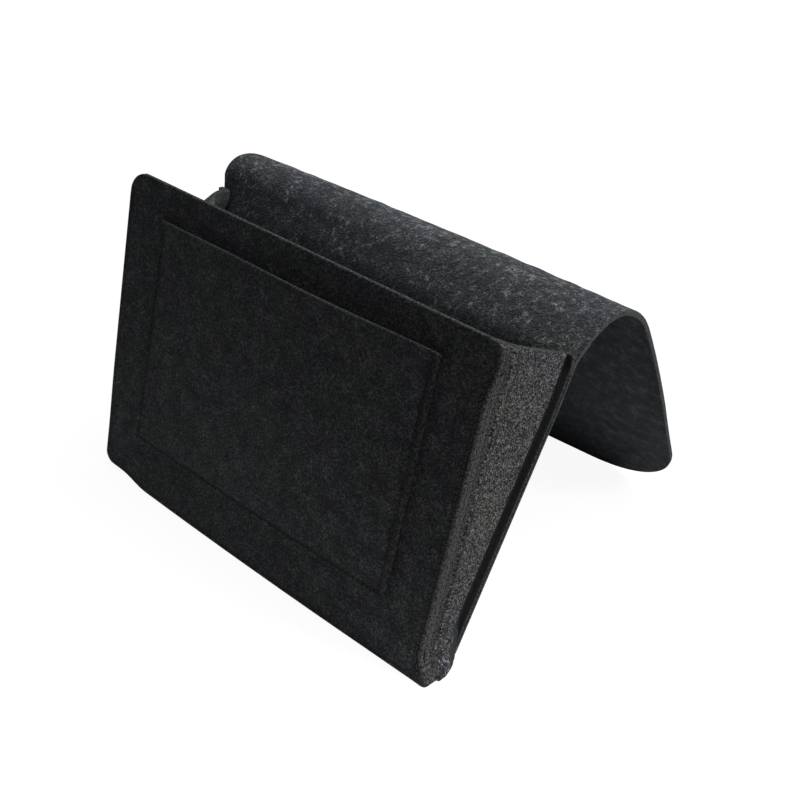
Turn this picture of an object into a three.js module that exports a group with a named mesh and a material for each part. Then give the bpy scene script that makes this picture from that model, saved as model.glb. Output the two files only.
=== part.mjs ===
// Bedside caddy sewn from thick felt, standing on its foot with the flap propped behind it.
// +X is to the right, +Y to the back and +Z up. Millimetres and degrees.
import * as THREE from "three";

// Felt and sewing
const FELT = 4.5;
const SEAM_GAP = 0.4;
const THREAD = 1;
const STITCH_INSET = 3;

// Front panel
const FRONT_WIDTH = 300;
const FRONT_HEIGHT = 225;
const FRONT_TOP_RADIUS = 14;
const BOTTOM_RADIUS = 12;

// Slip sheet behind the front panel, sewn into the same seam, with its top below the front's
const INNER_DROP = 20;

// Patch pocket on the front panel: its mouth bows forward between the two sewn sides
const PATCH_WIDTH = 232;
const PATCH_HEIGHT = 162;
const PATCH_FOOT = 42;
const PATCH_SHIFT = 2;
const PATCH_MOUTH = 6;

// Gusset: one strip round both sides and the bottom, with an outward flange along the front and the back
const FLANGE = 5.5;
const GUSSET_TOP_FALL = 15.5;
const FLANGE_CUT = 0.85;

// Back sheet: leaning back panel, crease above the pocket, arch, and the flap that runs down to the floor.
// It is wider than the front panel by the margin on each side, and its crease lies below the front's top.
// The flap is flat, and its end bends up a little where it rests on the floor.
const BACK_MARGIN = 3;
const POCKET_FOOT_DEPTH = 38.5;
const BACK_LEAN = 14;
const CREASE_DROP = 20;
const CREASE_RADIUS = 11;
const CREASE_TURN = 40;
const ARCH_RADIUS = 68;
const FLAP_LENGTH = 158;
const FLAP_END_LENGTH = 125;
const FLAP_END_RISE = 7;
const FLAP_CORNER_RADIUS = 95;
const HINGE_GAP = 0.3;
const HINGE_EDGE_TURN = 75;

// Facets
const CORNER_STEPS = 8;
const CREASE_STEPS = 4;
const ARCH_STEPS = 12;
const HINGE_STEPS = 4;
const BOW_COLUMNS = 12;
const BOW_ROWS = 8;
const SHOULDER_STEPS = 3;
const THREAD_SIDES = 6;

const radians = THREE.MathUtils.degToRad;
const backWidth = FRONT_WIDTH + 2 * BACK_MARGIN;
const innerHeight = FRONT_HEIGHT - INNER_DROP;
const backLength = FRONT_HEIGHT - CREASE_DROP;
const lean = radians(BACK_LEAN);
const topFall = radians(GUSSET_TOP_FALL);

const feltDark = new THREE.MeshStandardMaterial({ color: 0x26272a, roughness: 0.95, metalness: 0 });
const feltLight = new THREE.MeshStandardMaterial({ color: 0x3c3d40, roughness: 0.95, metalness: 0 });
const threadBlack = new THREE.MeshStandardMaterial({ color: 0x141416, roughness: 0.7, metalness: 0 });

// Values from 0 to 1 in even steps
function shares(steps) {
  return Array.from({ length: steps + 1 }, (_, i) => i / steps);
}

// A closed body lofted through rings of equal length, with a flat cap on each end.
// A ring's points are given in space, and capOutline gives the cap's shape in two dimensions.
function loft(name, rings, capOutline, material) {
  const size = rings[0].length;
  const faces = [];
  for (let r = 0; r + 1 < rings.length; r++) {
    for (let i = 0; i < size; i++) {
      const j = (i + 1) % size;
      const [a, b] = [r * size + i, r * size + j];
      const [c, d] = [a + size, b + size];
      faces.push([a, b, d], [a, d, c]);
    }
  }
  const contour = capOutline.map(([u, v]) => new THREE.Vector2(u, v));
  const lastRing = (rings.length - 1) * size;
  const outlineTurn = Math.sign(THREE.ShapeUtils.area(contour));
  for (const cap of THREE.ShapeUtils.triangulateShape(contour, [])) {
    const capTurn = Math.sign(THREE.ShapeUtils.area(cap.map((i) => contour[i])));
    const [a, b, c] = capTurn === outlineTurn ? cap : [...cap].reverse();
    faces.push([c, b, a], [a + lastRing, b + lastRing, c + lastRing]);
  }
  return closedMesh(name, rings.flat(), faces, material);
}

// A mesh of the given faces, turned so that they point outwards
function closedMesh(name, points, faces, material) {
  const at = (i) => new THREE.Vector3(...points[i]);
  const volume = faces.reduce((sum, [a, b, c]) => sum + at(a).dot(at(b).cross(at(c))), 0);
  const outward = volume > 0 ? faces : faces.map(([a, b, c]) => [a, c, b]);
  const geometry = new THREE.BufferGeometry();
  geometry.setAttribute("position", new THREE.Float32BufferAttribute(points.flat(), 3));
  geometry.setIndex(outward.flat());
  geometry.computeVertexNormals();
  const mesh = new THREE.Mesh(geometry, material);
  mesh.name = name;
  return mesh;
}

// A felt sheet from rows across its width. A row has its middle and normal in the YZ plane, half of its
// width and half of its thickness, so that a sheet can bend, have round corners and end in a round edge.
function sheet(name, rows, material) {
  const rings = rows.map(({ middle: [y, z], normal: [ny, nz], half, thick }) => {
    const front = [y + ny * thick, z + nz * thick];
    const rear = [y - ny * thick, z - nz * thick];
    return [
      [-half, ...front],
      [half, ...front],
      [half, ...rear],
      [-half, ...rear],
    ];
  });
  const cap = [
    [0, 0],
    [1, 0],
    [1, 1],
    [0, 1],
  ];
  return loft(name, rings, cap, material);
}

// Distances from an end at which a corner of this radius needs a row, with the width that it takes off there
function cornerRows(radius) {
  return shares(CORNER_STEPS).map((share) => {
    const angle = (share * Math.PI) / 2;
    return { from: radius * (1 - Math.cos(angle)), cut: radius * (1 - Math.sin(angle)) };
  });
}

// Upright sheet with round bottom corners, and round or square top corners
function uprightSheet(name, width, height, topRadius, frontY) {
  const bottom = cornerRows(BOTTOM_RADIUS).map(({ from, cut }) => [from, cut]);
  const top = topRadius ? cornerRows(topRadius).map(({ from, cut }) => [height - from, cut]) : [[height, 0]];
  const rows = [...bottom, ...top.reverse()].map(([z, cut]) => ({
    middle: [frontY + FELT / 2, z],
    normal: [-1, 0],
    half: width / 2 - cut,
    thick: FELT / 2,
  }));
  return sheet(name, rows, feltDark);
}

// The sheet's middle line in the YZ plane: straight runs and arcs, each with a length and a turn to the left
function middleLine(start, heading, runs) {
  return (distance) => {
    let [y, z] = start;
    let angle = heading;
    let left = distance;
    for (const [index, { length, turn }] of runs.entries()) {
      const step = index === runs.length - 1 ? left : Math.min(left, length);
      const bend = (turn * step) / length;
      const chord = bend ? (2 * step * Math.sin(bend / 2)) / bend : step;
      y += chord * Math.cos(angle + bend / 2);
      z += chord * Math.sin(angle + bend / 2);
      angle += bend;
      left -= step;
      if (left <= 0) break;
    }
    return { middle: [y, z], normal: [-Math.sin(angle), Math.cos(angle)] };
  };
}

// Back sheet: the arch turns until the underside of the flap's end meets the floor
const creaseTurn = radians(CREASE_TURN);
const creaseLength = (CREASE_RADIUS + FELT / 2) * creaseTurn;
const archMiddleRadius = ARCH_RADIUS + FELT / 2;
const sheetStart = [POCKET_FOOT_DEPTH - (Math.cos(lean) * FELT) / 2, (Math.sin(lean) * FELT) / 2];

function backSheet(archTurn) {
  const archLength = archMiddleRadius * archTurn;
  const line = middleLine(sheetStart, Math.PI / 2 - lean, [
    { length: backLength, turn: 0 },
    { length: creaseLength, turn: -creaseTurn },
    { length: archLength, turn: -archTurn },
    { length: FLAP_LENGTH, turn: 0 },
    { length: FLAP_END_LENGTH, turn: radians(FLAP_END_RISE) },
  ]);
  const archStart = backLength + creaseLength;
  const flapStart = archStart + archLength;
  const flapBend = flapStart + FLAP_LENGTH;
  return { line, archStart, flapStart, flapBend, end: flapBend + FLAP_END_LENGTH };
}

function flapEndHeight(archTurn) {
  const { line, end } = backSheet(archTurn);
  const { middle, normal } = line(end);
  return middle[1] - (normal[1] * FELT) / 2;
}

function restingArchTurn() {
  let [low, high] = [0, Math.PI / 2 - lean - creaseTurn + Math.PI / 2];
  for (let i = 0; i < 50; i++) {
    const middle = (low + high) / 2;
    if (flapEndHeight(middle) > 0) low = middle;
    else high = middle;
  }
  return high;
}

const { line: backLine, archStart, flapStart, flapBend, end: sheetEnd } = backSheet(restingArchTurn());
const hingeAt = (archStart + flapStart) / 2;
const flapEdgeAt = hingeAt + FELT + HINGE_GAP;

// Rows of a half-round edge about the given place, towards the sheet's end or its start
function roundEdge(centre, direction) {
  const lastAngle = radians(HINGE_EDGE_TURN);
  return shares(HINGE_STEPS).map((share) => ({
    at: centre + (direction * Math.sin(share * lastAngle) * FELT) / 2,
    thick: (Math.cos(share * lastAngle) * FELT) / 2,
  }));
}

function backSheetRow({ at, cut = 0, thick = FELT / 2 }) {
  return { ...backLine(at), half: backWidth / 2 - cut, thick };
}

function backPanel() {
  const corners = cornerRows(BOTTOM_RADIUS).map(({ from, cut }) => ({ at: from, cut }));
  const crease = shares(CREASE_STEPS).map((share) => ({ at: backLength + share * creaseLength }));
  const arch = shares(ARCH_STEPS / 2).map((share) => ({ at: archStart + share * (hingeAt - archStart) }));
  const edge = roundEdge(hingeAt, 1);
  const rows = [...corners, ...crease, ...arch.slice(1), ...edge.slice(1)];
  return sheet("back_panel", rows.map(backSheetRow), feltLight);
}

function mattressFlap() {
  const edge = roundEdge(flapEdgeAt, -1).reverse();
  const arch = shares(ARCH_STEPS / 2).map((share) => ({ at: flapEdgeAt + share * (flapStart - flapEdgeAt) }));
  const corners = cornerRows(FLAP_CORNER_RADIUS).map(({ from, cut }) => ({ at: sheetEnd - from, cut }));
  const rows = [...edge, ...arch.slice(1), { at: flapBend }, ...corners.reverse()];
  return sheet("mattress_flap", rows.map(backSheetRow), feltLight);
}

// Place in Y of a plane that lies the given depth in front of the back panel's rear face
function leaningY(depth, z) {
  return POCKET_FOOT_DEPTH + z * Math.tan(lean) - depth / Math.cos(lean);
}

// Stations along a U outline, from the top left round the bottom to the top right.
// Each has its place in the XZ plane and its normal towards the inside.
function uOutline(width, bottom, radius, sideHeights) {
  const rightSide = sideHeights.map((z) => ({ x: width / 2, z, nx: -1, nz: 0 }));
  const rightCorner = shares(CORNER_STEPS).map((share) => {
    const [sin, cos] = [Math.sin((share * Math.PI) / 2), Math.cos((share * Math.PI) / 2)];
    const [x, z] = [width / 2 - radius * (1 - sin), bottom + radius * (1 - cos)];
    return { x, z, nx: -sin, nz: cos };
  });
  const right = [...rightCorner, ...rightSide];
  const left = right.map((station) => ({ ...station, x: -station.x, nx: -station.nx }));
  return [...left.reverse(), ...right];
}

const layerStep = FELT + SEAM_GAP;
const backFlangeDepth = layerStep;

function gusset() {
  // The top edge falls towards the back
  const topAtFront = (y) => FRONT_HEIGHT - y * Math.tan(topFall);
  const topAtBack = (depth) => topAtFront(leaningY(depth, 0)) / (1 + Math.tan(topFall) * Math.tan(lean));

  // The front flange follows the front panel's round top corners and leaves a little of its width at the top
  const shoulder = FRONT_HEIGHT - FRONT_TOP_RADIUS;
  const lastInset = Math.min(FLANGE_CUT * FLANGE, FRONT_TOP_RADIUS);
  const lastAngle = Math.acos(1 - lastInset / FRONT_TOP_RADIUS);
  const angles = shares(SHOULDER_STEPS).map((share) => share * lastAngle);
  const flangeTop = topAtFront(layerStep);
  const shoulderHeights = angles.map((angle) => shoulder + FRONT_TOP_RADIUS * Math.sin(angle));
  const flangeInset = (z) => {
    const rise = Math.min(Math.max(z - shoulder, 0), FRONT_TOP_RADIUS * Math.sin(lastAngle));
    return FRONT_TOP_RADIUS - Math.sqrt(FRONT_TOP_RADIUS ** 2 - rise ** 2);
  };

  // It lies on the slip sheet, and leans forward above that until it meets the front panel
  const leanFrom = innerHeight + layerStep;
  const flangeY = (z) => {
    const share = (z - leanFrom) / (flangeTop - leanFrom);
    return layerStep * (2 - THREE.MathUtils.clamp(share, 0, 1));
  };
  const heights = [...new Set([leanFrom, ...shoulderHeights, flangeTop])].sort((a, b) => a - b);

  // On the sides each place climbs from the bottom corner to its own point of the top edge
  const rings = uOutline(FRONT_WIDTH, 0, BOTTOM_RADIUS, heights).map(({ x, z, nx, nz }) => {
    const climb = (z - BOTTOM_RADIUS) / (flangeTop - BOTTOM_RADIUS);
    const height = (inset, top) =>
      climb > 0 ? BOTTOM_RADIUS + climb * (top - BOTTOM_RADIUS) : z + inset * nz;
    const front = (inset, y) => [x + inset * nx, y, height(inset, topAtFront(y))];
    const back = (inset, depth) => {
      const backHeight = height(inset, topAtBack(depth));
      return [x + (inset - BACK_MARGIN) * nx, leaningY(depth, backHeight), backHeight];
    };
    return [
      front(flangeInset(z), flangeY(z)),
      front(FLANGE + FELT, flangeY(z)),
      back(FLANGE + FELT, backFlangeDepth),
      back(0, backFlangeDepth),
      back(0, backFlangeDepth + FELT),
      back(FLANGE, backFlangeDepth + FELT),
      front(FLANGE, flangeY(z) + FELT),
      front(flangeInset(z), flangeY(z) + FELT),
    ];
  });
  const cap = [
    [0, 0],
    [3, 0],
    [3, 5],
    [0, 5],
    [0, 4],
    [2, 4],
    [2, 1],
    [0, 1],
  ];
  return loft("gusset", rings, cap, feltLight);
}

// Patch pocket: a sheet whose mouth bows forward in the middle and stays on the panel along its sewn edges
function patchPocket() {
  const columns = shares(BOW_COLUMNS);
  const rows = shares(BOW_ROWS);
  const bow = (across, up) => PATCH_MOUTH * Math.sin(across * Math.PI) ** 2 * up ** 2;
  const layer = (depth) =>
    rows.flatMap((up) =>
      columns.map((across) => [
        PATCH_SHIFT + (across - 0.5) * PATCH_WIDTH,
        -SEAM_GAP - depth - bow(across, up),
        PATCH_FOOT + up * PATCH_HEIGHT,
      ]),
    );
  const points = [...layer(0), ...layer(FELT)];
  const frontLayer = points.length / 2;
  const faces = [];
  const quad = (a, b, c, d) => faces.push([a, b, c], [a, c, d]);
  const place = (row, column) => row * (BOW_COLUMNS + 1) + column;
  for (let row = 0; row < BOW_ROWS; row++) {
    for (let column = 0; column < BOW_COLUMNS; column++) {
      const [a, b] = [place(row, column), place(row, column + 1)];
      const [d, c] = [place(row + 1, column), place(row + 1, column + 1)];
      quad(d, c, b, a);
      quad(a + frontLayer, b + frontLayer, c + frontLayer, d + frontLayer);
    }
  }
  const rim = [
    ...columns.slice(1).map((_, i) => [place(0, i), place(0, i + 1)]),
    ...rows.slice(1).map((_, i) => [place(i, BOW_COLUMNS), place(i + 1, BOW_COLUMNS)]),
    ...columns.slice(1).map((_, i) => [place(BOW_ROWS, i + 1), place(BOW_ROWS, i)]),
    ...rows.slice(1).map((_, i) => [place(i + 1, 0), place(i, 0)]),
  ];
  for (const [a, b] of rim) quad(a, b, b + frontLayer, a + frontLayer);
  return closedMesh("patch_pocket", points, faces, feltDark);
}

// A seam's thread along a U outline: it lies on the felt at the depth that surfaceY gives for a place
function seamThread(name, stations, surfaceY) {
  const section = Array.from({ length: THREAD_SIDES }, (_, i) => {
    const angle = (2 * Math.PI * i) / THREAD_SIDES;
    return [(Math.cos(angle) * THREAD) / 2, (Math.sin(angle) * THREAD) / 2];
  });
  const rings = stations.map(({ x, z, nx, nz }) =>
    section.map(([across, out]) => {
      const [px, pz] = [x + across * nx, z + across * nz];
      return [px, surfaceY(px, pz) + out, pz];
    }),
  );
  return loft(name, rings, section, threadBlack);
}

function frontSeamThread() {
  const top = FRONT_HEIGHT - FRONT_TOP_RADIUS;
  const path = uOutline(FRONT_WIDTH - 2 * STITCH_INSET, STITCH_INSET, BOTTOM_RADIUS - STITCH_INSET, [top]);
  return seamThread("front_seam_thread", path, () => -SEAM_GAP - THREAD / 2);
}

function backSeamThread() {
  const top = backLength * Math.cos(lean) - 2 * STITCH_INSET;
  const path = uOutline(backWidth - 2 * STITCH_INSET, STITCH_INSET, BOTTOM_RADIUS - STITCH_INSET, [top]);
  return seamThread("back_seam_thread", path, (x, z) => leaningY(-SEAM_GAP - THREAD / 2, z));
}

function patchSeamThread() {
  const width = PATCH_WIDTH - 2 * STITCH_INSET;
  const bottom = PATCH_FOOT + STITCH_INSET;
  const top = PATCH_FOOT + PATCH_HEIGHT - STITCH_INSET;
  const path = uOutline(width, bottom, STITCH_INSET, [top]);
  const faceY = -SEAM_GAP - FELT;
  const bowAllowance = PATCH_MOUTH * Math.sin((Math.PI * STITCH_INSET) / PATCH_WIDTH) ** 2;
  const thread = seamThread("patch_seam_thread", path, () => faceY - bowAllowance - SEAM_GAP - THREAD / 2);
  thread.position.x = PATCH_SHIFT;
  return thread;
}

const caddy = new THREE.Group();
caddy.add(
  uprightSheet("front_panel", FRONT_WIDTH, FRONT_HEIGHT, FRONT_TOP_RADIUS, 0),
  uprightSheet("inner_pocket", FRONT_WIDTH, innerHeight, 0, FELT + SEAM_GAP),
  patchPocket(),
  gusset(),
  backPanel(),
  mattressFlap(),
  frontSeamThread(),
  backSeamThread(),
  patchSeamThread(),
);

// The origin is on the floor under the middle of the caddy
const extent = new THREE.Box3().setFromObject(caddy);
caddy.position.y = -(extent.min.y + extent.max.y) / 2;

export default caddy;
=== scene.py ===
# Felt bedside caddy standing on its foot, with its long flap folded over and propped behind it.
import math

import bpy
import numpy as np
from mathutils import Matrix, Vector


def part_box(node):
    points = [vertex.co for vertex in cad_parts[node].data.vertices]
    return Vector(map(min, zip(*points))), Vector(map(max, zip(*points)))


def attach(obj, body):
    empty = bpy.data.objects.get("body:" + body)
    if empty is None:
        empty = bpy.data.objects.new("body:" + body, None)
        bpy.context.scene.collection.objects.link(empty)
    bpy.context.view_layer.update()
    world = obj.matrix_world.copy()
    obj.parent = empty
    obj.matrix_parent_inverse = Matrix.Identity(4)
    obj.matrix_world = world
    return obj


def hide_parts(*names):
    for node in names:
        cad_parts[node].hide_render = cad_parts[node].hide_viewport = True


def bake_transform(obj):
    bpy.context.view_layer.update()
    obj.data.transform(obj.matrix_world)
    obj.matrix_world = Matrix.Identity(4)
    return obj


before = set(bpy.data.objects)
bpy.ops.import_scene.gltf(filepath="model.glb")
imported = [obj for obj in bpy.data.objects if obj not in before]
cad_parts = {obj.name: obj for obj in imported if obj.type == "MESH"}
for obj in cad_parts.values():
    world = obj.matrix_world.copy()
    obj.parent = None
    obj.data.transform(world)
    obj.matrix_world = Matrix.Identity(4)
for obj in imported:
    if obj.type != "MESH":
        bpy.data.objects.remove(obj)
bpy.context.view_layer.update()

MM = 0.001

# Sizes in millimetres and angles that the part's source has too, under the same names
FELT = 4.5
SEAM_GAP = 0.4
STITCH_INSET = 3
FRONT_WIDTH = 300
FRONT_HEIGHT = 225
FRONT_TOP_RADIUS = 14
BOTTOM_RADIUS = 12
PATCH_WIDTH = 232
PATCH_HEIGHT = 162
PATCH_FOOT = 42
PATCH_SHIFT = 2
FLANGE = 5.5
GUSSET_TOP_FALL = math.radians(15.5)
FLANGE_CUT = 0.85
BACK_MARGIN = 3
POCKET_FOOT_DEPTH = 38.5
BACK_LEAN = math.radians(14)
FLAP_CORNER_RADIUS = 95

# Heights and lengths of the sheets behind the front, in millimetres
INNER_HEIGHT = 205
BACK_LENGTH = 205
SHEET_LENGTH = 593

# Corner radii that differ from left to right
LEFT_TOP_RADIUS = 15
RIGHT_TOP_RADIUS = 7
RIGHT_BOTTOM_RADIUS = 3.2
FRONT_FOOT_RADII = (9, 3)
BACK_FOOT_RADII = (9, 5)
FLAP_END_RADII = (FLAP_CORNER_RADIUS, 93)

# The felt's lowest points stay this far above the floor
FLOOR_GAP = 0.05

front_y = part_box("front_panel")[0].y / MM
back_width = FRONT_WIDTH + 2 * BACK_MARGIN
layer_step = FELT + SEAM_GAP
back_slope = math.tan(BACK_LEAN)
top_slope = math.tan(GUSSET_TOP_FALL)


# Small numeric helpers


def waves(points, length, seed):
    """A smooth random field of unit variance over the points, with features of about that length."""
    rng = np.random.default_rng(seed)
    count = 28
    directions = rng.normal(size=(count, points.shape[-1]))
    directions /= np.linalg.norm(directions, axis=1, keepdims=True)
    lengths = length * rng.uniform(0.7, 1.5, count)
    phases = rng.uniform(0, 2 * math.pi, count)
    turns = points @ (directions / lengths[:, None]).T * 2 * math.pi + phases
    return np.sin(turns).sum(-1) * math.sqrt(2 / count)


def smooth(value, low, high):
    """Runs from 0 at low to 1 at high without a kink. Low may be the greater of the two."""
    share = np.clip((value - low) / (high - low), 0, 1)
    return share * share * (3 - 2 * share)


def hump(value, width):
    """Falls from 1 at the value 0 to nearly 0 on both sides, within about twice that width."""
    return np.exp(-((value / width) ** 2))


def wear(distance, reach, depth):
    """How far a face is worn or pinched down at that distance from its edge."""
    return depth * np.clip(1 - distance / reach, 0, 1) ** 2


# Distances of grid lines from a cut edge, where the even grid starts, and its step where seen and hidden
EDGE_STEPS = np.array([0, 0.12, 0.4, 0.8, 1.3, 1.9, 2.5, 3.1, 3.7, 4.4, 5.3, 6.6, 8.5])
GRID_START = 11.5
GRID_STEP = 5
HIDDEN_GRID_STEP = 14


def spaced(length, step=GRID_STEP):
    """Grid lines from 0 to length, close together near both cut edges."""
    count = round((length - 2 * GRID_START) / step) + 1
    middle = np.linspace(GRID_START, length - GRID_START, count)
    return np.concatenate([EDGE_STEPS, middle, length - EDGE_STEPS[::-1]])


def spaced_across(width, step=GRID_STEP):
    """The same for a sheet's width, with 0 in its middle."""
    return spaced(width, step) - width / 2


def rounded(x, s, width, length, radii):
    """Moves grid points into an outline with round corners, ring by ring.

    The radii are those of the start's left and right corner and of the end's left and right corner.
    """
    x, s = x.copy(), s.copy()
    side = width / 2 - np.abs(x)
    right = x > 0
    from_start, from_end = s.copy(), length - s
    for radius, on_this_side, distance, end, sign in (
        (radii[0], ~right, from_start, 0, 1),
        (radii[1], right, from_start, 0, 1),
        (radii[2], ~right, from_end, length, -1),
        (radii[3], right, from_end, length, -1),
    ):
        a, b = radius - side, radius - distance
        corner = on_this_side & (a > 0) & (b > 0)
        low, high = np.minimum(a, b)[corner], np.maximum(a, b)[corner]
        angle = math.pi / 4 * low / high
        angle = np.where(b[corner] < a[corner], angle, math.pi / 2 - angle)
        x[corner] = np.sign(x[corner]) * (width / 2 - radius + high * np.cos(angle))
        s[corner] = end + sign * (radius - high * np.sin(angle))
    return x, s


def flat_outline(width, length, *radii):
    return lambda x, s: rounded(x, s, width, length, radii)


def edge_profile(distance, radius):
    """How far the face lies below its full height at that distance from a rounded cut edge."""
    inside = np.clip(radius - distance, 0, radius)
    return radius - np.sqrt(radius**2 - inside**2)


# Meshes


def link(name, data):
    """A new object in the scene that holds this mesh, lamp or camera."""
    obj = bpy.data.objects.new(name, data)
    bpy.context.scene.collection.objects.link(obj)
    return obj


def new_piece(name, points, faces, material, attributes):
    """A smooth mesh from points in millimetres, with the values at each point that its material reads."""
    mesh = bpy.data.meshes.new(name)
    mesh.from_pydata((points * MM).tolist(), [], faces)
    mesh.materials.append(material)
    for key, values in attributes.items():
        kind, field = ("FLOAT_VECTOR", "vector") if values.ndim == 2 else ("FLOAT", "value")
        layer = mesh.attributes.new(key, kind, "POINT")
        layer.data.foreach_set(field, values.astype(np.float32).ravel())
    mesh.shade_smooth()
    return link(name, mesh)


# The length of the felt's lumps, and the distance from a cut edge at which they have their full height
LUMP_LENGTH = 17
LUMP_START = 6
# How far the cut's colour reaches over the faces
FRAY = 0.35


def felt_slab(
    name, columns, rows, outline, place, material, dent, edges, seed, lumps=0.12, cut_reach=None, crease=None
):
    """One closed sheet of felt: two faces over a grid, and a cut edge round it.

    outline(x, s) moves the grid into the cut's outline, and place(x, s, n) puts it into the object's
    space, with n the height above the middle of the sheet. dent(x, s) is how far a seam pulls in the
    upper and the lower face, lumps is the height of their lumps, and edges holds the radii of the cut at
    both faces. cut_reach(x) is how far the cut's colour reaches over the faces, and crease(x, s) is
    how dark painted shade in creases, grooves and corners makes the upper and the lower face.
    """
    grid_x, grid_s = np.meshgrid(columns, rows)
    count = grid_x.size
    distance = np.minimum(grid_x - columns[0], columns[-1] - grid_x)
    distance = np.minimum(distance, np.minimum(grid_s - rows[0], rows[-1] - grid_s)).ravel()
    x, s = (a.ravel() for a in outline(grid_x, grid_s))
    flat = np.stack([x, s], 1)
    calm = np.clip(distance / LUMP_START, 0, 1)
    upper_dent, lower_dent = dent(x, s)
    upper = FELT / 2 - edge_profile(distance, edges[0]) - upper_dent
    lower = -FELT / 2 + edge_profile(distance, edges[1]) + lower_dent
    upper = upper + lumps * calm * waves(flat, LUMP_LENGTH, seed)
    lower = lower + lumps * calm * waves(flat, LUMP_LENGTH, seed + 1)

    # The boundary of the grid as one loop, for the cut edge between the two faces
    number = np.arange(count).reshape(grid_x.shape)
    loop = np.concatenate([number[0, :-1], number[:-1, -1], number[-1, :0:-1], number[:0:-1, 0]])
    all_x = np.concatenate([x, x, x[loop]])
    all_s = np.concatenate([s, s, s[loop]])
    all_n = np.concatenate([upper, lower, (upper + lower)[loop] / 2])
    points, texture = place(all_x, all_s, all_n)

    quads = [number[:-1, :-1], number[:-1, 1:], number[1:, 1:], number[1:, :-1]]
    quads = np.stack(quads, -1).reshape(-1, 4)
    following = np.roll(loop, -1)
    middle = 2 * count + np.arange(len(loop))
    after = np.roll(middle, -1)
    upper_rim = np.stack([following, loop, middle, after], 1)
    lower_rim = np.stack([after, middle, loop + count, following + count], 1)
    faces = np.concatenate([quads, quads[:, ::-1] + count, upper_rim, lower_rim])
    cut = np.clip(1 - distance / (cut_reach(x) if cut_reach else FRAY), 0, 1)
    attributes = {"flat": texture * MM, "cut": np.concatenate([cut, cut, np.ones(len(loop))])}
    # Painted shade: how dark the shade in creases, grooves and corners is painted on each face
    if crease:
        dark, dark_below = crease(x, s)
        attributes["crease"] = np.concatenate([dark, dark_below, dark_below[loop]])
    piece = new_piece(name, points, faces.tolist(), material, attributes)

    # The sign of the volume tells whether the faces look to the inside
    corners = points[faces[:, :3]]
    if np.einsum("ij,ij->i", corners[:, 0], np.cross(corners[:, 1], corners[:, 2])).sum() < 0:
        piece.data.flip_normals()
    return piece


# Seams: the grooves they press, and the gaps they close between the layers

SEAM_GROOVE = 0.55
PATCH_GROOVE = 1.0
GROOVE_WIDTH = 0.9
GROOVE_FADE = 6
EDGE_PRESS = 0.19
# Distances from the edge at which the press starts and is full, and half the height over which it ends
PRESS_REACH = (11, 6)
PRESS_FADE = 3


def seam_dent(width, bottom_radius, top, depth):
    """The groove that a U-shaped seam presses into a panel."""

    def depth_at(x, s):
        side = width / 2 - np.abs(x)
        a, b = bottom_radius - side, bottom_radius - s
        in_corner = (a > 0) & (b > 0)
        distance = np.where(in_corner, bottom_radius - np.hypot(a, b), np.minimum(side, s))
        fade = np.clip((top - s) / GROOVE_FADE, 0, 1)
        return depth * fade * hump(distance - STITCH_INSET, GROOVE_WIDTH)

    return depth_at


def seam_press(width, top):
    """How much a panel's edge fills the gap to the layer that it is sewn to."""

    def press_at(x, s):
        distance = np.minimum(width / 2 - np.abs(x), s)
        end = smooth(s, top + PRESS_FADE, top - PRESS_FADE)
        return EDGE_PRESS * smooth(distance, *PRESS_REACH) * end

    return press_at


# How far use has moved the pocket's lower right corner, foot, upper right corner, left side and lower left
# corner. Each pair below says where such a movement starts and where it is full.
FOOT_SPREAD = 10.3
FOOT_CURL = 0.4
FOOT_BOW = 2.3
HEAD_SPREAD = 2.7
SIDE_SPREAD = 0.8
CORNER_LIFT = 4.0
# Distances from the right and the left edge
RIGHT_CORNER = (45, 0)
RIGHT_CURL = (12, 0)
LEFT_SIDE = (30, 0)
LEFT_CORNER = (48, 20)
BOW_END = 5
# Heights above the floor, and distances below the top
FOOT_HEIGHT = 10
LIFT_HEIGHT = 22
BOW_HEIGHT = (150, 0)
SIDE_HEIGHT = (30, 80)
HEAD_DROP = (37, 13)
# Distance behind the front, and shares of the pocket's depth
FRONT_LAYERS = (60, 20)
SPREAD_DEPTH = (1.15, 0.35)
CURL_DEPTH = (0.95, 0.5)
BOW_DEPTH = (0.95, 0.3)
LIFT_DEPTH = (0.9, 0.4)


def worn(points):
    """The pocket's shape as it is with use.

    The right corners spread and so does the left side, the lower left corner lifts, and the foot bows a
    little to the front.
    """
    x, y, z = points.T
    from_right, from_left = FRONT_WIDTH / 2 - x, FRONT_WIDTH / 2 + x
    behind_front = y - front_y
    depth = np.clip(behind_front / POCKET_FOOT_DEPTH, 0, 1)
    low = hump(z, FOOT_HEIGHT)
    right = smooth(from_right, *RIGHT_CORNER)
    front = smooth(behind_front, *FRONT_LAYERS)
    foot = FOOT_SPREAD * low * right * smooth(depth, *SPREAD_DEPTH)
    curl = FOOT_CURL * low * smooth(from_right, *RIGHT_CURL) * smooth(depth, *CURL_DEPTH)
    arch = np.clip(1 - (x / (FRONT_WIDTH / 2 - BOW_END)) ** 2, 0, 1)
    bow = FOOT_BOW * arch * smooth(z, *BOW_HEIGHT) * smooth(depth, *BOW_DEPTH)
    head = HEAD_SPREAD * smooth(FRONT_HEIGHT - z, *HEAD_DROP) * right * front
    side = SIDE_SPREAD * smooth(from_left, *LEFT_SIDE) * smooth(z, *SIDE_HEIGHT) * front
    lift = CORNER_LIFT * smooth(from_left, *LEFT_CORNER) * hump(z, LIFT_HEIGHT) * smooth(depth, *LIFT_DEPTH)
    return np.stack([x + foot + head - side, y - curl - bow, np.maximum(z + lift, FLOOR_GAP)], 1)


def upright(middle_y):
    """Places a standing panel whose upper face looks to the front."""

    def place(x, s, n):
        return worn(np.stack([x, middle_y - n, s], 1)), np.stack([x, s, n], 1)

    return place


# Back sheet: the leaning back panel, the crease, the arch and the flap are one piece of felt


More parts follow.
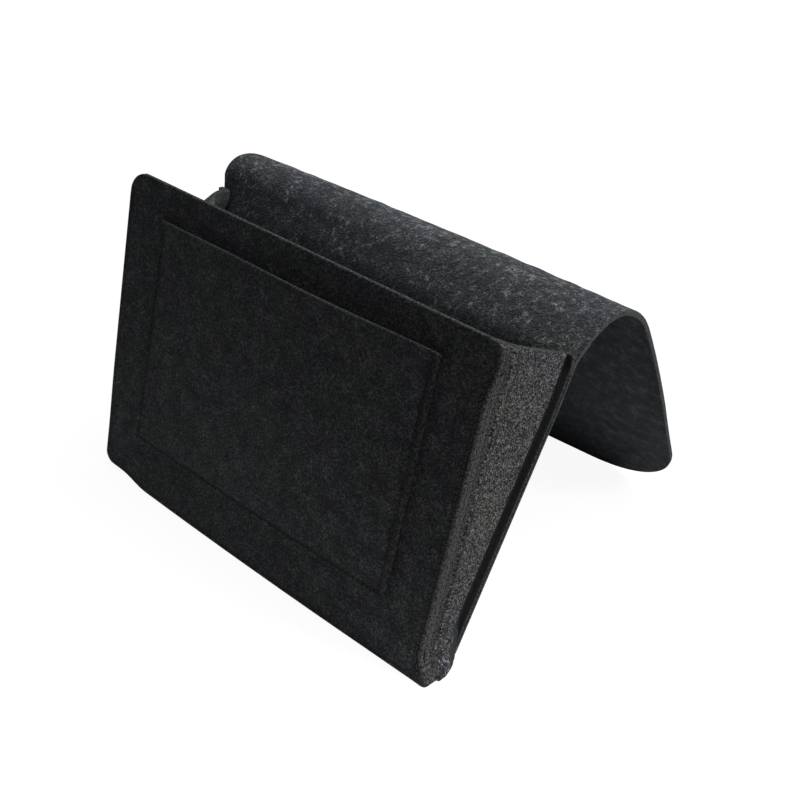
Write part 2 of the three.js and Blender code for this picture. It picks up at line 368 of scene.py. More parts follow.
def lean_y(depth, z):
    """Place in Y of a plane that lies that far in front of the back panel's rear face."""
    return front_y + POCKET_FOOT_DEPTH + z * back_slope - depth / math.cos(BACK_LEAN)


# Course of the sheet's middle line at its left and its right edge: distance along it, degrees above level.
# The fold is tight on the left and wide on the right, and the sheet runs smoothly from one to the other.
LEFT_LINE = [(0, 76), (200, 76), (209, 74), (220, 82), (230, 37), (240, 10), (252, -12.5), (262, -18),
             (308, -21), (340, -46), (SHEET_LENGTH, -46)]
RIGHT_LINE = [(0, 76), (198, 76), (208, 37), (220, 34), (232, 27), (246, 12), (265, -11), (285, -25),
              (300, -36), (316, -41.5), (420, -45), (SHEET_LENGTH, -41)]
LINE_STEP = 0.5
LINES = 33
# From here on, and in full after the run, the flap tilts a little until its end meets the floor
TILT_START = 330
TILT_RUN = 30
TILT_ROUNDS = 6


def course(heading, start, part):
    """Places in Y or Z along the lines, summed up from the cosine or the sine of their headings."""
    middle = (heading[:, 1:] + heading[:, :-1]) / 2
    steps = np.cumsum(part(middle), 1) * LINE_STEP
    return start + np.concatenate([np.zeros((LINES, 1)), steps], 1)


def sheet_lines():
    """Middle lines across the sheet, as arrays of y, z and heading. Each one ends on the floor."""
    along = np.arange(0, SHEET_LENGTH + LINE_STEP, LINE_STEP)
    left, right = (np.interp(along, *np.transpose(line)) for line in (LEFT_LINE, RIGHT_LINE))
    share = np.linspace(0, 1, LINES)[:, None]
    heading = np.radians(left * (1 - share) + right * share)
    start_z = math.sin(BACK_LEAN) * FELT / 2
    start_y = lean_y(FELT / 2, start_z)
    for _ in range(TILT_ROUNDS):
        y = course(heading, start_y, np.cos)
        z = course(heading, start_z, np.sin)
        miss = z[:, -1] - FELT / 2 * np.cos(heading[:, -1]) - FLOOR_GAP
        correction = miss / (SHEET_LENGTH - TILT_START) / np.cos(heading[:, -1])
        heading = heading - correction[:, None] * np.clip((along - TILT_START) / TILT_RUN, 0, 1)
    return y, z, heading


lines = sheet_lines()


def sheet_point(x, s, n):
    """Place in Y and Z of a point of the sheet, from its flat place and its height above the middle."""
    across = np.clip(x / back_width + 0.5, 0, 1) * (LINES - 1)
    i = np.clip(across.astype(int), 0, LINES - 2)
    along = np.clip(s, 0, SHEET_LENGTH) / LINE_STEP
    j = np.clip(along.astype(int), 0, lines[0].shape[1] - 2)
    u, v = across - i, along - j
    y, z, heading = (
        (table[i, j] * (1 - v) + table[i, j + 1] * v) * (1 - u)
        + (table[i + 1, j] * (1 - v) + table[i + 1, j + 1] * v) * u
        for table in lines
    )
    return y - n * np.sin(heading), z + n * np.cos(heading)


# How far the sheet's edges stand out, along the sheet
LEFT_EDGE = [(0, 0), (190, 0), (206, -2.5), (220, 2.4), (235, 2.5), (260, 0), (SHEET_LENGTH, 0)]
RIGHT_EDGE = [(0, 0.5), (60, 1.2), (170, 2.4), (200, 1.8), (230, 0.3), (290, 0.5), (340, -0.4), (420, -1),
              (560, -5)]
# Distances from the middle of the sheet at which that starts and is full
LEFT_EDGE_REACH = (100, 150)
RIGHT_EDGE_REACH = (60, 150)


def edge_shift(x, s):
    """How far a point moves to the right so that both edges run like that."""
    left = np.interp(s, *np.transpose(LEFT_EDGE)) * smooth(-x, *LEFT_EDGE_REACH)
    return np.interp(s, *np.transpose(RIGHT_EDGE)) * smooth(x, *RIGHT_EDGE_REACH) - left


def place_back(x, s, n):
    y, z = sheet_point(x, s, n)
    return np.stack([x + edge_shift(x, s), y, z], 1), np.stack([x, s, n], 1)


# Gusset: a strip with a flange along each edge, which runs down one side, along the bottom and up the other

FOLD_RADIUS = 1.6
# The wall widens upwards. In the strip's own measure it has this width throughout.
WALL_SHARE = 60
# Height of the strip's left end at the front, and how much higher than the right one it is at the back
LEFT_TOP = 203
LEFT_TIP = 4
# How the bottom corners draw the wall out to the seams: shares on the left and on the right, and the reach
CORNER_DRAW = (0.3, 0.85)
CORNER_REACH = 16
# The outer face, above this height in the felt, fills the right corner out to this far beyond the front's
# outline, within this reach
OUTER_FACE = 0.5
CORNER_FILL = 0.7
FILL_REACH = (30, 14)
# How far the left and the right wall swell out, and where that starts and is full beside a seam and above a
# corner. How far the left wall sinks in towards its top, and how far both top edges sag.
WALL_SWELL = (2.0, 4.2)
SWELL_START = (0.2, 6)
SWELL_CLIMB = (0, 0.1)
LEFT_SINK = 7.0
TOP_SAG = (5.5, 0.6)
# Distances to the slip sheet's top and to the strip's top between which the front flange leans forward
LEAN_BEFORE = 4
LEAN_AFTER = 6
# How much the seam thins the back flange, where that starts and is full behind the fold, and how far from
# the strip's ends
FLANGE_PINCH = 3.2
PINCH_START = (-1.5, 1.5)
PINCH_END = 10
# Where the press of the front flange ends at the fold, and where that of the back one starts and is full
FRONT_PRESS_END = (2, -1)
BACK_PRESS_START = 2
BACK_PRESS_FULL = 3
# Heights above the slip sheet between which the front flange thickens
THICKENING = (0.3, 2)
# Distance from the front fold to the painted shadow line on the wall, the line's width, and its fade at the
# top
SHADE_LINE_PLACE = 9.9
SHADE_LINE_WIDTH = 0.9
SHADE_LINE_FADE = 6
# Where the painted shade on the right rear fold starts behind the wall, how far it widens to the front, at
# which distances from the bottom corner that starts and is full, half the width of its soft limit, and its
# fade below
REAR_START = 1.6
REAR_WIDENING = 14
WIDENING_RUN = (70, 25)
REAR_SOFTNESS = 2
REAR_FADE = 12
# Distances to the back fold at which the painted shade in the corner inside starts and is darkest
INSIDE_CORNER = (16, 3)
# Painted shade of strength 1 is dark in places, and of this strength it is dark all along
EVENLY_DARK = 1.6

# Distances across the strip: flange, fold, wall, fold, flange
flange_run = FLANGE + FELT / 2 - FOLD_RADIUS
fold_run = FOLD_RADIUS * math.pi / 2
wall_start = flange_run + fold_run
wall_end = wall_start + WALL_SHARE
back_flange = wall_end + fold_run
strip_width = back_flange + flange_run

# Distances along the strip: side, corner, bottom, corner, side
side_run = FRONT_HEIGHT - BOTTOM_RADIUS
corner_run = BOTTOM_RADIUS * math.pi / 2
bottom_run = FRONT_WIDTH - 2 * BOTTOM_RADIUS
strip_length = 2 * (side_run + corner_run) + bottom_run


def top_height(y):
    """Height of the gusset's top edge, which falls to the back."""
    return FRONT_HEIGHT - (y - front_y) * top_slope


flange_top = top_height(front_y + layer_step)
top_at_back = top_height(lean_y(layer_step, 0)) / (1 + top_slope * back_slope)


def to_end(s):
    """Distance along the strip to its nearer end."""
    return np.minimum(s, strip_length - s)


def past_corner(s):
    """Distance along the strip from the middle of the nearer bottom corner."""
    return to_end(s) - side_run - corner_run / 2


def strip_station(s):
    """The outline's place, its normal towards the inside, and how far up a side it is, from 0 to 1.

    The right bottom corner is squarer than the left one.
    """
    half = to_end(s)
    sign = np.where(s < strip_length / 2, -1.0, 1.0)
    climb = np.clip(1 - half / side_run, 0, 1)
    radius = np.where(sign < 0, BOTTOM_RADIUS, RIGHT_BOTTOM_RADIUS)
    straight = BOTTOM_RADIUS - radius
    arc = radius * math.pi / 2
    run = np.clip((half - side_run) / corner_run, 0, 1) * (2 * straight + arc)
    angle = np.clip((run - straight) / radius, 0, math.pi / 2)
    along = np.clip(half - side_run - corner_run, 0, None) + np.clip(run - straight - arc, 0, None)
    x = sign * (FRONT_WIDTH / 2 - radius * (1 - np.cos(angle)) - along)
    z = BOTTOM_RADIUS - np.minimum(run, straight) - radius * np.sin(angle)
    return x, z, -sign * np.cos(angle), np.sin(angle), climb


def flange_inset(z):
    """How far the front flange draws back to follow the front panel's round top corner."""
    rise = np.clip(z - (FRONT_HEIGHT - RIGHT_TOP_RADIUS), 0, RIGHT_TOP_RADIUS)
    inset = RIGHT_TOP_RADIUS - np.sqrt(RIGHT_TOP_RADIUS**2 - rise**2)
    return np.minimum(inset, FLANGE_CUT * FLANGE)


def side_height(s, climb):
    """Height of the strip's front edge on a side."""
    top = np.where(s < strip_length / 2, LEFT_TOP, flange_top)
    return BOTTOM_RADIUS + climb * (top - BOTTOM_RADIUS)


def flange_lean(z):
    """Above the slip sheet the front flange leans forward by one layer, from 0 to 1."""
    return smooth(z, INNER_HEIGHT - LEAN_BEFORE, flange_top - LEAN_AFTER)


def place_gusset(p, s, n):
    """Places a point of the strip, from its distance across the strip and along it."""
    x, z, nx, nz, climb = strip_station(s)
    left = s < strip_length / 2
    side_z = side_height(s, climb)
    flange_y = front_y + layer_step * (2 - flange_lean(side_z))
    share = np.clip((p - wall_start) / WALL_SHARE, 0, 1)
    first = np.clip((p - flange_run) / FOLD_RADIUS, 0, math.pi / 2)
    second = np.clip((p - wall_end) / FOLD_RADIUS, 0, math.pi / 2)

    def front_and_back(inset):
        """Places in the planes of the front and the back flange, that far inside the outline."""
        on_side = climb > 0
        front_z = np.where(on_side, side_z, z + inset * nz)
        back_top = np.where(left, top_at_back + LEFT_TIP, top_at_back)
        back_z = np.where(on_side, BOTTOM_RADIUS + climb * (back_top - BOTTOM_RADIUS), z + inset * nz)
        front = np.stack([x + inset * nx, flange_y, front_z], 1)
        back_x = x + (inset - BACK_MARGIN) * nx
        back_x = back_x + edge_shift(back_x, back_z / math.cos(BACK_LEAN))
        back = np.stack([back_x, lean_y(layer_step, back_z), back_z], 1)
        return front, back

    front, back = front_and_back(FLANGE + FELT / 2)
    depth = np.linalg.norm(back - front, axis=1)
    wall = depth - FELT - 2 * FOLD_RADIUS
    start = flange_inset(side_z)
    near = start + np.clip(p / flange_run, 0, 1) * (flange_run - start)
    inset = near + FOLD_RADIUS * (np.sin(first) - (1 - np.cos(second))) - np.clip(p - back_flange, 0, None)
    corner = hump(past_corner(s), CORNER_REACH)
    inset = inset * (1 - np.where(left, *CORNER_DRAW) * corner)
    q = FELT / 2 + FOLD_RADIUS * (1 - np.cos(first) + np.sin(second)) + share * wall
    turn = first + second
    inset = inset - n * np.sin(turn)
    q = q + n * np.cos(turn)
    filled = smooth(np.abs(past_corner(s)), *FILL_REACH) * (~left & (n > OUTER_FACE))
    inset = inset + filled * (np.minimum(inset, -CORNER_FILL) - inset)

    # The wall swells out between the seams above the bottom corners, and on the left its top sinks in
    bulge = np.sin(math.pi * share) ** 2
    swell = smooth(share * wall, *SWELL_START) * smooth((1 - share) * wall, *SWELL_START)
    swell = swell * smooth(climb, *SWELL_CLIMB) * (1 - corner)
    inset = inset - swell * np.where(left, *WALL_SWELL)
    inset = inset + bulge * np.where(left, LEFT_SINK * climb**3, 0)
    front, back = front_and_back(inset)
    points = front + (q / depth)[:, None] * (back - front)
    points[:, 2] -= np.where(left, *TOP_SAG) * bulge * climb**6
    behind_wall = wall_start + wall + p - wall_end
    across = np.where(p < wall_start, p, np.where(p > wall_end, behind_wall, wall_start + share * wall))
    return worn(points), np.stack([across, s, n], 1)


def gusset_dent(p, s):
    """The seams: the front flange is pressed against its neighbour, and the back one is pinched thin.

    Above the slip sheet the front flange thickens towards the front panel until it has leaned over to it.
    """
    pinch = FLANGE_PINCH * smooth(p - back_flange, *PINCH_START) * smooth(to_end(s), 0, PINCH_END)
    at_front = smooth(p - flange_run, *FRONT_PRESS_END)
    at_back = smooth(p, back_flange - BACK_PRESS_START, strip_width - BACK_PRESS_FULL)
    z = side_height(s, strip_station(s)[-1])
    swell = layer_step * (1 - flange_lean(z)) * smooth(z - INNER_HEIGHT, *THICKENING)
    return pinch, -EDGE_PRESS * (at_front + at_back) - swell * at_front


def gusset_crease(p, s):
    """The wall's painted shade.

    Outside, it lies in the line where the wall comes out from behind the front seam and on its right rear
    fold, which is wider near the bottom. Inside, it lies in the corner at the back.
    """
    line = hump(p - wall_start - SHADE_LINE_PLACE, SHADE_LINE_WIDTH) * smooth(strip_length - s, 0, SHADE_LINE_FADE)
    past_side = strip_length - s - side_run
    start = wall_end + REAR_START - REAR_WIDENING * smooth(-past_side, *WIDENING_RUN)
    on_side = smooth(past_side, corner_run + REAR_FADE, corner_run)
    rear = EVENLY_DARK * smooth(p, start - REAR_SOFTNESS, start + REAR_SOFTNESS) * on_side
    return np.maximum(line, rear), smooth(wall_end - p, *INSIDE_CORNER)


# Stitches

PATH_STEP = 0.25
CORNER_POINTS = 40
STITCH_PITCH = 4.2
STITCH_RUN = 3.3
STITCH_DIVE = 0.9
STITCH_JITTER = 0.06
STITCH_DRIFT = 0.08
THREAD_RADIUS = 0.42
THREAD_TIP = 0.12
THREAD_RINGS = 7
THREAD_SIDES = 6
# How deep the thread lies below the face, in a panel's seam and in the patch's
SEAM_SINK = 0.45
PATCH_SINK = 0.65


def u_path(width, radius, top):
    """Points along a U seam, one path step apart, as (x, s)."""
    half, r = width / 2 - STITCH_INSET, radius - STITCH_INSET
    angles = np.linspace(0, math.pi / 2, CORNER_POINTS)
    corner = np.stack([-half + r * (1 - np.cos(angles)), STITCH_INSET + r * (1 - np.sin(angles))], 1)
    left = np.concatenate([[[-half, top]], corner])
    line = np.concatenate([left, left[::-1] * [-1, 1]])
    run = np.concatenate([[0], np.cumsum(np.linalg.norm(np.diff(line, axis=0), axis=1))])
    even = np.arange(0, run[-1], PATH_STEP)
    return np.stack([np.interp(even, run, line[:, 0]), np.interp(even, run, line[:, 1])], 1)


def stitches(name, path, place, sink, material, seed, side=1):
    """Single stitches along a path, on a sheet's upper face or, with side -1, on its lower one.

    Each one is a short thread that dives into the felt at both ends.
    """
    rng = np.random.default_rng(seed)
    steps = np.arange(len(path))
    share = np.linspace(-1, 1, THREAD_RINGS)
    around = np.linspace(0, 2 * math.pi, THREAD_SIDES, endpoint=False)
    thick = THREAD_RADIUS * np.sqrt(np.clip(1 - np.abs(share) ** 5, THREAD_TIP, 1))
    rise = FELT / 2 - sink + THREAD_RADIUS / 2 - STITCH_DIVE * share**4
    points, faces, texture = [], [], []
    for k in range(int(len(path) * PATH_STEP / STITCH_PITCH)):
        middle = (k + 0.5) * STITCH_PITCH + rng.normal(0, STITCH_JITTER)
        drift = rng.normal(0, STITCH_DRIFT)
        at = np.clip((middle + share * STITCH_RUN / 2) / PATH_STEP, 0, len(path) - 1.001)
        x, s = (np.interp(at, steps, path[:, axis]) for axis in (0, 1))
        ahead = np.gradient(np.stack([x, s], 1), axis=0)
        ahead /= np.linalg.norm(ahead, axis=1, keepdims=True)
        for j in range(THREAD_RINGS):
            across = thick[j] * np.cos(around) + drift
            up = side * (rise[j] + thick[j] * np.sin(around))
            points.append(np.stack([x[j] - across * ahead[j, 1], s[j] + across * ahead[j, 0], up], 1))
            along = np.full(THREAD_SIDES, at[j] * PATH_STEP)
            texture.append(np.stack([along, across, np.zeros(THREAD_SIDES)], 1))
        rings = np.arange(THREAD_RINGS * THREAD_SIDES).reshape(THREAD_RINGS, -1)
        rings = rings + k * rings.size
        for ring, following in zip(rings[:-1], rings[1:]):
            faces += np.stack([ring, np.roll(ring, -1), np.roll(following, -1), following], 1).tolist()
        faces.append(rings[0, ::-1].tolist())
        faces.append(rings[-1].tolist())
    world, _ = place(*np.concatenate(points).T)
    piece = new_piece(name, world, faces, material, {"flat": np.concatenate(texture) * MM})
    if side < 0:
        piece.data.flip_normals()
    return piece


# Materials


class Nodes:
    """A material's node tree, with short calls to add and join nodes."""

    def __init__(self, name):
        self.material = bpy.data.materials.new(name)
        self.material.use_nodes = True
        self.tree = self.material.node_tree
        self.surface = self.tree.nodes["Principled BSDF"].inputs

    def add(self, kind, inputs=None, **settings):
        node = self.tree.nodes.new(kind)
        for key, value in settings.items():
            setattr(node, key, value)
        for key, value in (inputs or {}).items():
            self.join(value, node.inputs[key])
        return node

    def join(self, value, socket):
        if isinstance(value, bpy.types.NodeSocket):
            self.tree.links.new(value, socket)
        else:
            socket.default_value = value

    def shade(self, inputs):
        """Sets the surface's inputs and returns the finished material."""
        for key, value in inputs.items():
            self.join(value, self.surface[key])
        return self.material

    def attribute(self, name, output="Fac"):
        return self.add("ShaderNodeAttribute", attribute_name=name).outputs[output]

    def math(self, operation, a, b=0.0, c=0.0):
        return self.add("ShaderNodeMath", {0: a, 1: b, 2: c}, operation=operation).outputs[0]

    def vector(self, operation, a, b, output="Vector"):
        return self.add("ShaderNodeVectorMath", {0: a, 1: b}, operation=operation).outputs[output]

    def noise(self, vector, size, detail, roughness=0.5, output="Fac"):
        inputs = {"Vector": vector, "Scale": 1 / (size * MM), "Detail": detail, "Roughness": roughness}
        return self.add("ShaderNodeTexNoise", inputs).outputs[output]

    def band(self, value, low, high, to_low=0.0, to_high=1.0):
        inputs = {"Value": value, "From Min": low, "From Max": high, "To Min": to_low, "To Max": to_high}
        return self.add("ShaderNodeMapRange", inputs).outputs[0]

    def mix(self, share, a, b, blend="MIX"):
        """A mix of two colours, which are the node's inputs 6 and 7."""
        inputs = {"Factor": share, 6: a, 7: b}
        return self.add("ShaderNodeMix", inputs, data_type="RGBA", blend_type=blend).outputs[2]

    def ramp(self, value, stops):
        node = self.add("ShaderNodeValToRGB", {"Fac": value})
        points = node.color_ramp.elements
        while len(points) < len(stops):
            points.new(0.5)
        for point, (place, colour) in zip(points, stops):
            point.position = place
            point.color = colour
        return node.outputs["Color"]

    def bump(self, height, strength, distance):
        inputs = {"Height": height, "Strength": strength, "Distance": distance * MM}
        return self.add("ShaderNodeBump", inputs).outputs[0]


def grey(value, tint=(1, 1, 1)):
    """An opaque grey of that lightness, with a tint."""
    return (*(value * t for t in tint), 1)


# Length and width of the curls in the fibres
CURL_LENGTH = 5
CURL_WIDTH = 3
# Fibres as angle, width, length and limits of contrast: matted all over, and combed near the fold
MATTED = [(angle, 0.8, 3.6, 0.52, 0.74) for angle in (0.5, 1.5, 2.6)]
COMBED = [(0.1, 1.5, 6.0, 0.5, 0.66), (0.75, 1.7, 5.0, 0.5, 0.66)]
# The inside shows less of the grain and more of the clouds and specks, on a ground painted lighter: painted
# light for its shaded faces, such as the flap's underside
INSIDE_PAINTED_LIGHT = 0.36
INSIDE_GRAIN = 0.5
INSIDE_CLOUDS = 2.2
# Where the top of the fold is along the back sheet, how far from it the streaks and the tufts thin out, the
# share of the streaks that is left beyond, and how light the tufts are. Lightest on the crest and thinning
# away from it, they are partly fibres that use leaves there and partly a painted highlight.
CREST = 258
STREAK_REACH = (50 * MM, 90 * MM)
TUFT_REACH = (8 * MM, 32 * MM)
FAR_STREAKS = 0.35
CREST_TUFTS_AND_HIGHLIGHT = 0.52
# Tints of the lightest fibres and of the cut
WARM = (1.05, 1, 0.95)
CUT_TINT = (1, 1, 0.92)


def curled(m, flat):
    """The flat place, bent to and fro, so that fibres along it are curly."""
    bend = m.noise(flat, CURL_LENGTH, 1.0, output="Color")
    bend = m.vector("SUBTRACT", bend, (0.5, 0.5, 0.5))
    return m.vector("ADD", flat, m.vector("MULTIPLY", bend, (CURL_WIDTH * MM,) * 3))


def fibres(m, curly, angle, width, length, low, high):
    """One kind of fibres, from 0 to 1."""
    scale = (1 / (width * MM), 1 / (length * MM), 1 / (width * MM))
    turned = m.add("ShaderNodeMapping", {"Vector": curly, "Rotation": (0, 0, angle)}).outputs[0]
    turned = m.vector("MULTIPLY", turned, scale)
    field = m.add("ShaderNodeTexNoise", {"Vector": turned, "Scale": 1.0, "Detail": 1.0}).outputs["Fac"]
    return m.band(field, low, high)


def lightest(m, curly, kinds):
    """The lightest of several kinds of fibres at each place."""
    first, *others = (fibres(m, curly, *kind) for kind in kinds)
    for other in others:
        first = m.math("MAXIMUM", first, other)
    return first


def rubbed_and_highlit(m, tone, flat, curly, along, outside, streaks):
    """Adds combed streaks in clumps and tufts on the crest, outside the fold: partly wear, partly painted
    highlight.
    """
    clumps = m.math("MULTIPLY", m.band(m.noise(flat, 6, 3.0, 0.65), 0.42, 0.62), outside)
    reach = m.math("ABSOLUTE", m.math("SUBTRACT", along, CREST * MM))
    clumps = m.math("MULTIPLY", clumps, m.band(reach, *STREAK_REACH, 1.0, FAR_STREAKS))
    combed = m.math("MULTIPLY", lightest(m, curly, COMBED), clumps)
    tone = m.math("MULTIPLY_ADD", combed, streaks, tone)
    crest = m.math("MULTIPLY", m.band(reach, *TUFT_REACH, 1.0, 0.0), outside)
    tufts = m.math("MULTIPLY", crest, m.band(m.noise(flat, 4.2, 3.0, 0.65), 0.48, 0.6))
    return m.math("MULTIPLY_ADD", tufts, CREST_TUFTS_AND_HIGHLIGHT, tone)


def felt_material(
    name, strand, grain, relief, size=1.3, spread=0.14, mottle=0.12, blotch=0.06,
    streaks=0.0, sheen=0.06, dark=0.008, tint=(1, 1, 1)
):
    """Charcoal melange felt: dark fibres with light ones among them, matted in all directions.

    strand and grain are how much the fibres and the grains lighten it, and relief is how deep they look.
    size is a grain's length, and a small spread sets light and dark grains sharply apart. mottle and blotch
    are the strength of the clouds and of the specks, and streaks that of the combed fibres on the fold,
    which are partly a painted highlight.
    dark is the grey of the painted shade in creases and seams, and tint colours the darker fibres.
    """
    m = Nodes(name)
    flat = m.attribute("flat", "Vector")
    curly = curled(m, flat)
    place = m.add("ShaderNodeSeparateXYZ", {"Vector": flat}).outputs
    outside = m.band(place["Z"], -0.5 * MM, 0.5 * MM)

    # How light the felt is, from its fibres, grains, clouds and specks
    strands = lightest(m, curly, MATTED)
    grains = m.band(m.noise(flat, size, 2.5, 0.7), 0.5 - spread, 0.5 + spread)
    # Painted light: the inside faces get a lighter ground, for the light that their shade lacks
    painted_ground = m.math("MULTIPLY_ADD", outside, -INSIDE_PAINTED_LIGHT, INSIDE_PAINTED_LIGHT)
    contrast = m.math("MULTIPLY_ADD", outside, 1 - INSIDE_GRAIN, INSIDE_GRAIN)
    grains = m.math("MULTIPLY_ADD", grains, contrast, painted_ground)
    clouds = m.band(m.noise(flat, 11, 3.0, 0.6), 0.3, 0.7, -mottle, mottle)
    specks = m.band(m.noise(flat, 2.6 * size, 2.0, 0.6), 0.36, 0.64, -blotch, blotch)
    uneven = m.math("MULTIPLY", m.math("ADD", clouds, specks), m.band(outside, 0, 1, INSIDE_CLOUDS, 1.0))
    tone = m.math("MULTIPLY_ADD", grains, grain, m.math("MULTIPLY", strands, strand))
    tone = m.math("ADD", tone, uneven)
    if streaks:
        tone = rubbed_and_highlit(m, tone, flat, curly, place["Y"], outside, streaks)
    tones = [(0.0, grey(0.016, tint)), (0.4, grey(0.045, tint)), (0.8, grey(0.14)), (1.0, grey(0.3, WARM))]
    surface = m.ramp(tone, tones)

    # Wide bluish and greenish places, painted shade in creases and seams, and the rough cut
    hue = m.band(m.noise(flat, 45, 3.0), 0.38, 0.62)
    hue = m.mix(hue, (0.97, 0.98, 1.07, 1), (1.0, 1.03, 0.96, 1))
    surface = m.mix(1.0, surface, hue, blend="MULTIPLY")
    # Painted shade: creases, grooves and corners are painted darker, in dashes, towards the grey given as
    # dark
    crease = m.band(m.noise(flat, 7, 1.0), 0.32, 0.48, 0.6, 1.0)
    crease = m.math("MULTIPLY", m.attribute("crease"), crease)
    surface = m.mix(crease, surface, grey(dark))
    edge_grain = m.band(m.noise(flat, 1.5, 2.0, 0.6), 0.42, 0.58)
    edge = m.ramp(edge_grain, [(0.0, grey(0.02, CUT_TINT)), (1.0, grey(0.125, CUT_TINT))])
    return m.shade({
        "Base Color": m.mix(m.attribute("cut"), surface, edge),
        "Normal": m.bump(m.math("MULTIPLY_ADD", strands, 0.5, grains), 1.0, relief),
        "Roughness": 0.92,
        "Specular IOR Level": 0.1,
        "Sheen Weight": sheen,
        "Sheen Roughness": 0.45,
        "Sheen Tint": (0.85, 0.9, 1.0, 1),
    })


def thread_material():
    """Black twisted sewing thread."""
    m = Nodes("thread_black")
    inputs = {"Vector": m.attribute("flat", "Vector"), "Scale": 900.0, "Distortion": 0.5}
    twist = m.add("ShaderNodeTexWave", inputs, bands_direction="DIAGONAL").outputs["Fac"]
    return m.shade({
        "Base Color": m.ramp(twist, [(0.0, grey(0.006)), (1.0, grey(0.028))]),
        "Normal": m.bump(twist, 0.5, 0.15),
        "Roughness": 0.6,
    })


felt = felt_material("felt_panels", strand=0.14, grain=0.6, relief=0.8, mottle=0.13)
# The gusset's painted shade is a lighter grey than that of the panels
felt_gusset = felt_material(
    "felt_gusset", strand=0.55, grain=0.74, relief=1.3, size=1.25, spread=0.055, blotch=0.17, dark=0.048
)
# The back sheet's darker fibres are painted a little blue: painted light for the cool light in its shade
felt_sheet = felt_material(
    "felt_back_sheet", strand=0.08, grain=0.48, relief=1.0, spread=0.1, streaks=0.56, sheen=0.15,
    tint=(0.95, 1.0, 1.03)
)
thread = thread_material()


# Front panel and the slip sheet behind it

SQUARE_CORNER = 0.01
# How dark the painted shade in the seam's groove is on the right, how much farther the cut's colour reaches
# there as a painted highlight where the rounded face turns towards the light, and the distances from the
# panel's middle at which these start and are full
FRONT_SEAM_SHADE = 0.65
RIGHT_PAINTED_HIGHLIGHT = 1.8
SEAM_SHADE_REACH = (100, 140)
HIGHLIGHT_REACH = (100, 145)

front_middle = front_y + FELT / 2
inner_middle = front_middle + layer_step
front_seam_top = FRONT_HEIGHT - FRONT_TOP_RADIUS
place_front = upright(front_middle)
front_dent = seam_dent(FRONT_WIDTH, BOTTOM_RADIUS, front_seam_top, SEAM_GROOVE)
front_press = seam_press(FRONT_WIDTH, INNER_HEIGHT)


def front_faces(x, s):
    """The front panel's faces: its seam, its worn right edge and the round rear of its top edge."""
    right_wear = wear(FRONT_WIDTH / 2 - x, reach=5, depth=2.4)
    top_wear = wear(FRONT_HEIGHT - s, reach=2.2, depth=2.0)
    return front_dent(x, s) + right_wear, top_wear - front_press(x, s)


def front_crease(x, s):
    """Painted shade: a dark line in the seam's groove beside the worn right edge."""
    dark = FRONT_SEAM_SHADE * front_dent(x, s) / SEAM_GROOVE * smooth(x, *SEAM_SHADE_REACH)
    return dark, np.zeros(len(x))


# The cut's colour reaches farther over the right edge: a painted highlight where the rounded face turns to
# the light
def front_cut_and_highlight(x):
    return FRAY + RIGHT_PAINTED_HIGHLIGHT * smooth(x, *HIGHLIGHT_REACH)


def inner_faces(x, s):
    """Both faces of the slip sheet fill the gaps beside it."""
    return -front_press(x, s), -front_press(x, s)


front_panel = felt_slab(
    "front_panel_felt",
    spaced_across(FRONT_WIDTH),
    spaced(FRONT_HEIGHT),
    flat_outline(FRONT_WIDTH, FRONT_HEIGHT, *FRONT_FOOT_RADII, LEFT_TOP_RADIUS, RIGHT_TOP_RADIUS),
    place_front,
    felt,
    dent=front_faces,
    edges=(0.9, 0.15),
    seed=10,
    cut_reach=front_cut_and_highlight,
    crease=front_crease,
)
inner_pocket = felt_slab(
    "inner_pocket_felt",
    spaced_across(FRONT_WIDTH, HIDDEN_GRID_STEP),
    spaced(INNER_HEIGHT, HIDDEN_GRID_STEP),
    flat_outline(FRONT_WIDTH, INNER_HEIGHT, *FRONT_FOOT_RADII, SQUARE_CORNER, SQUARE_CORNER),
    upright(inner_middle),
    felt,
    dent=inner_faces,
    edges=(0.15, 0.15),
    seed=20,
    lumps=0.05,
)


# Patch pocket: sewn on a little askew, with a mouth that stands open

# How far its mouth stands open, and how much it rises to the right
PATCH_BOW = 3
PATCH_SLANT = 0.0125
# How far the top leans to the right at its left end, and how far all of it shifts to the left
PATCH_LEAN = 3.4
PATCH_DRIFT = 0.8
PATCH_RADIUS = 1.5
PATCH_SEAM_RADIUS = 1
# How dark the painted shade in its seam's groove is
PATCH_SEAM_SHADE = 0.75

patch_middle = front_y - SEAM_GAP - FELT / 2
patch_seam_top = PATCH_HEIGHT - STITCH_INSET
patch_dent = seam_dent(PATCH_WIDTH, PATCH_SEAM_RADIUS, patch_seam_top, PATCH_GROOVE)


def place_patch(x, s, n):
    """The patch's mouth stands open, most of all right of its middle."""
    u, v = np.clip(x / PATCH_WIDTH + 0.5, 0, 1), np.clip(s / PATCH_HEIGHT, 0, 1)
    bow = PATCH_BOW * np.sin(math.pi * u**1.4) ** 2 * v**2
    lean = PATCH_LEAN * (1 - u) * v - PATCH_DRIFT * v
    points = [x + PATCH_SHIFT + lean, patch_middle - n - bow, s + PATCH_FOOT + PATCH_SLANT * x]
    return worn(np.stack(points, 1)), np.stack([x, s, n], 1)


def patch_faces(x, s):
    """The patch's faces: its seam, and the round rear of its top edge."""
    return patch_dent(x, s), wear(PATCH_HEIGHT - s, reach=2.2, depth=2.2)


def patch_crease(x, s):
    """Painted shade: the dark line of the seam's groove in the patch's face."""
    return PATCH_SEAM_SHADE * patch_dent(x, s) / PATCH_GROOVE, np.zeros(len(x))


patch_pocket = felt_slab(
    "patch_pocket_felt",
    spaced_across(PATCH_WIDTH),
    spaced(PATCH_HEIGHT),
    flat_outline(PATCH_WIDTH, PATCH_HEIGHT, *[PATCH_RADIUS] * 4),
    place_patch,
    felt,
    dent=patch_faces,
    edges=(0.9, 0.4),
    seed=30,
    crease=patch_crease,
)


